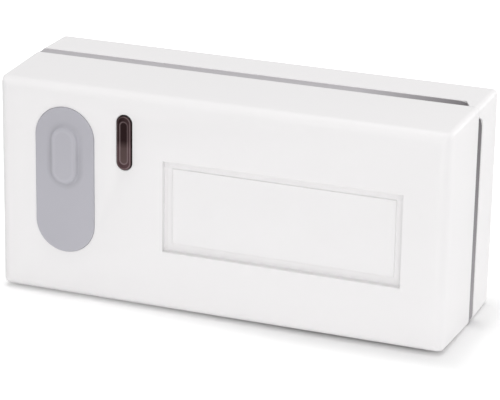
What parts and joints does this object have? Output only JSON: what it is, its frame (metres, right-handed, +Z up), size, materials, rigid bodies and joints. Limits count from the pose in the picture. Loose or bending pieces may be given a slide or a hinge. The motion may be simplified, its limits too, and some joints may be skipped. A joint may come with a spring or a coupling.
{
  "type": "doorbell push button",
  "caption": "Landscape battery bell push: white two-part housing with a grey seal, grey press pad with a raised bump, smoked lamp lens and blank name window.",
  "frame": {"origin": "centre of the housing's footprint at its lowest edge, halfway between the bump's face and the back face", "axes": "+X across the front to the viewer's right, +Y from the front to the wall, +Z up"},
  "size_m": [0.09, 0.0308, 0.0432],
  "materials": {
    "housing_plastic": "satin white moulded ABS",
    "seal_rubber": "matt grey",
    "pad_rubber": "matt grey silicone",
    "inner_plastic": "matt natural",
    "smoked_lens": "polished smoked red-brown",
    "clear_window": "clear polished plastic",
    "card": "blank white card",
    "board": "green solder resist",
    "screw_steel": "zinc plated",
    "black_plastic": "matt black",
    "contact_metal": "nickel plated",
    "lamp_resin": "tinted resin",
    "cell_case": "plain sleeved cell"
  },
  "bodies": {
    "housing": {"front_cover": "housing_plastic", "back_box": "housing_plastic", "seal_ring": "seal_rubber", "lamp_lens": "smoked_lens", "name_window": "clear_window", "name_card": "card", "circuit_board": "board", "board_screws": "screw_steel", "cover_screws": "screw_steel", "switch_housing": "black_plastic", "switch_cover": "contact_metal", "indicator_led": "lamp_resin", "radio_chip": "black_plastic", "crystal_can": "contact_metal", "power_capacitor": "contact_metal", "chip_resistors": "black_plastic", "aerial_strip": "contact_metal", "battery_cradle": "black_plastic", "battery_upper": "cell_case", "battery_lower": "cell_case", "positive_contact": "contact_metal", "negative_contact": "contact_metal", "bridge_contact": "contact_metal"},
    "push_button": {"push_pad": "pad_rubber", "press_stem": "inner_plastic"},
    "switch_button": {"switch_plunger": "black_plastic"}
  },
  "joints": [
    {"name": "pad_press", "type": "slide", "parent": "housing", "child": "push_button", "axis": [0, 1, 0], "range_m": [0, 0.0006], "stiffness_N_per_m": 1500, "springref_m": -0.0005},
    {"name": "switch_press", "type": "slide", "parent": "housing", "child": "switch_button", "axis": [0, 1, 0], "range_m": [0, 0.0006]}
  ],
  "couplings": [
    {"joint": "switch_press", "follows": "pad_press", "ratio": 1}
  ]
}
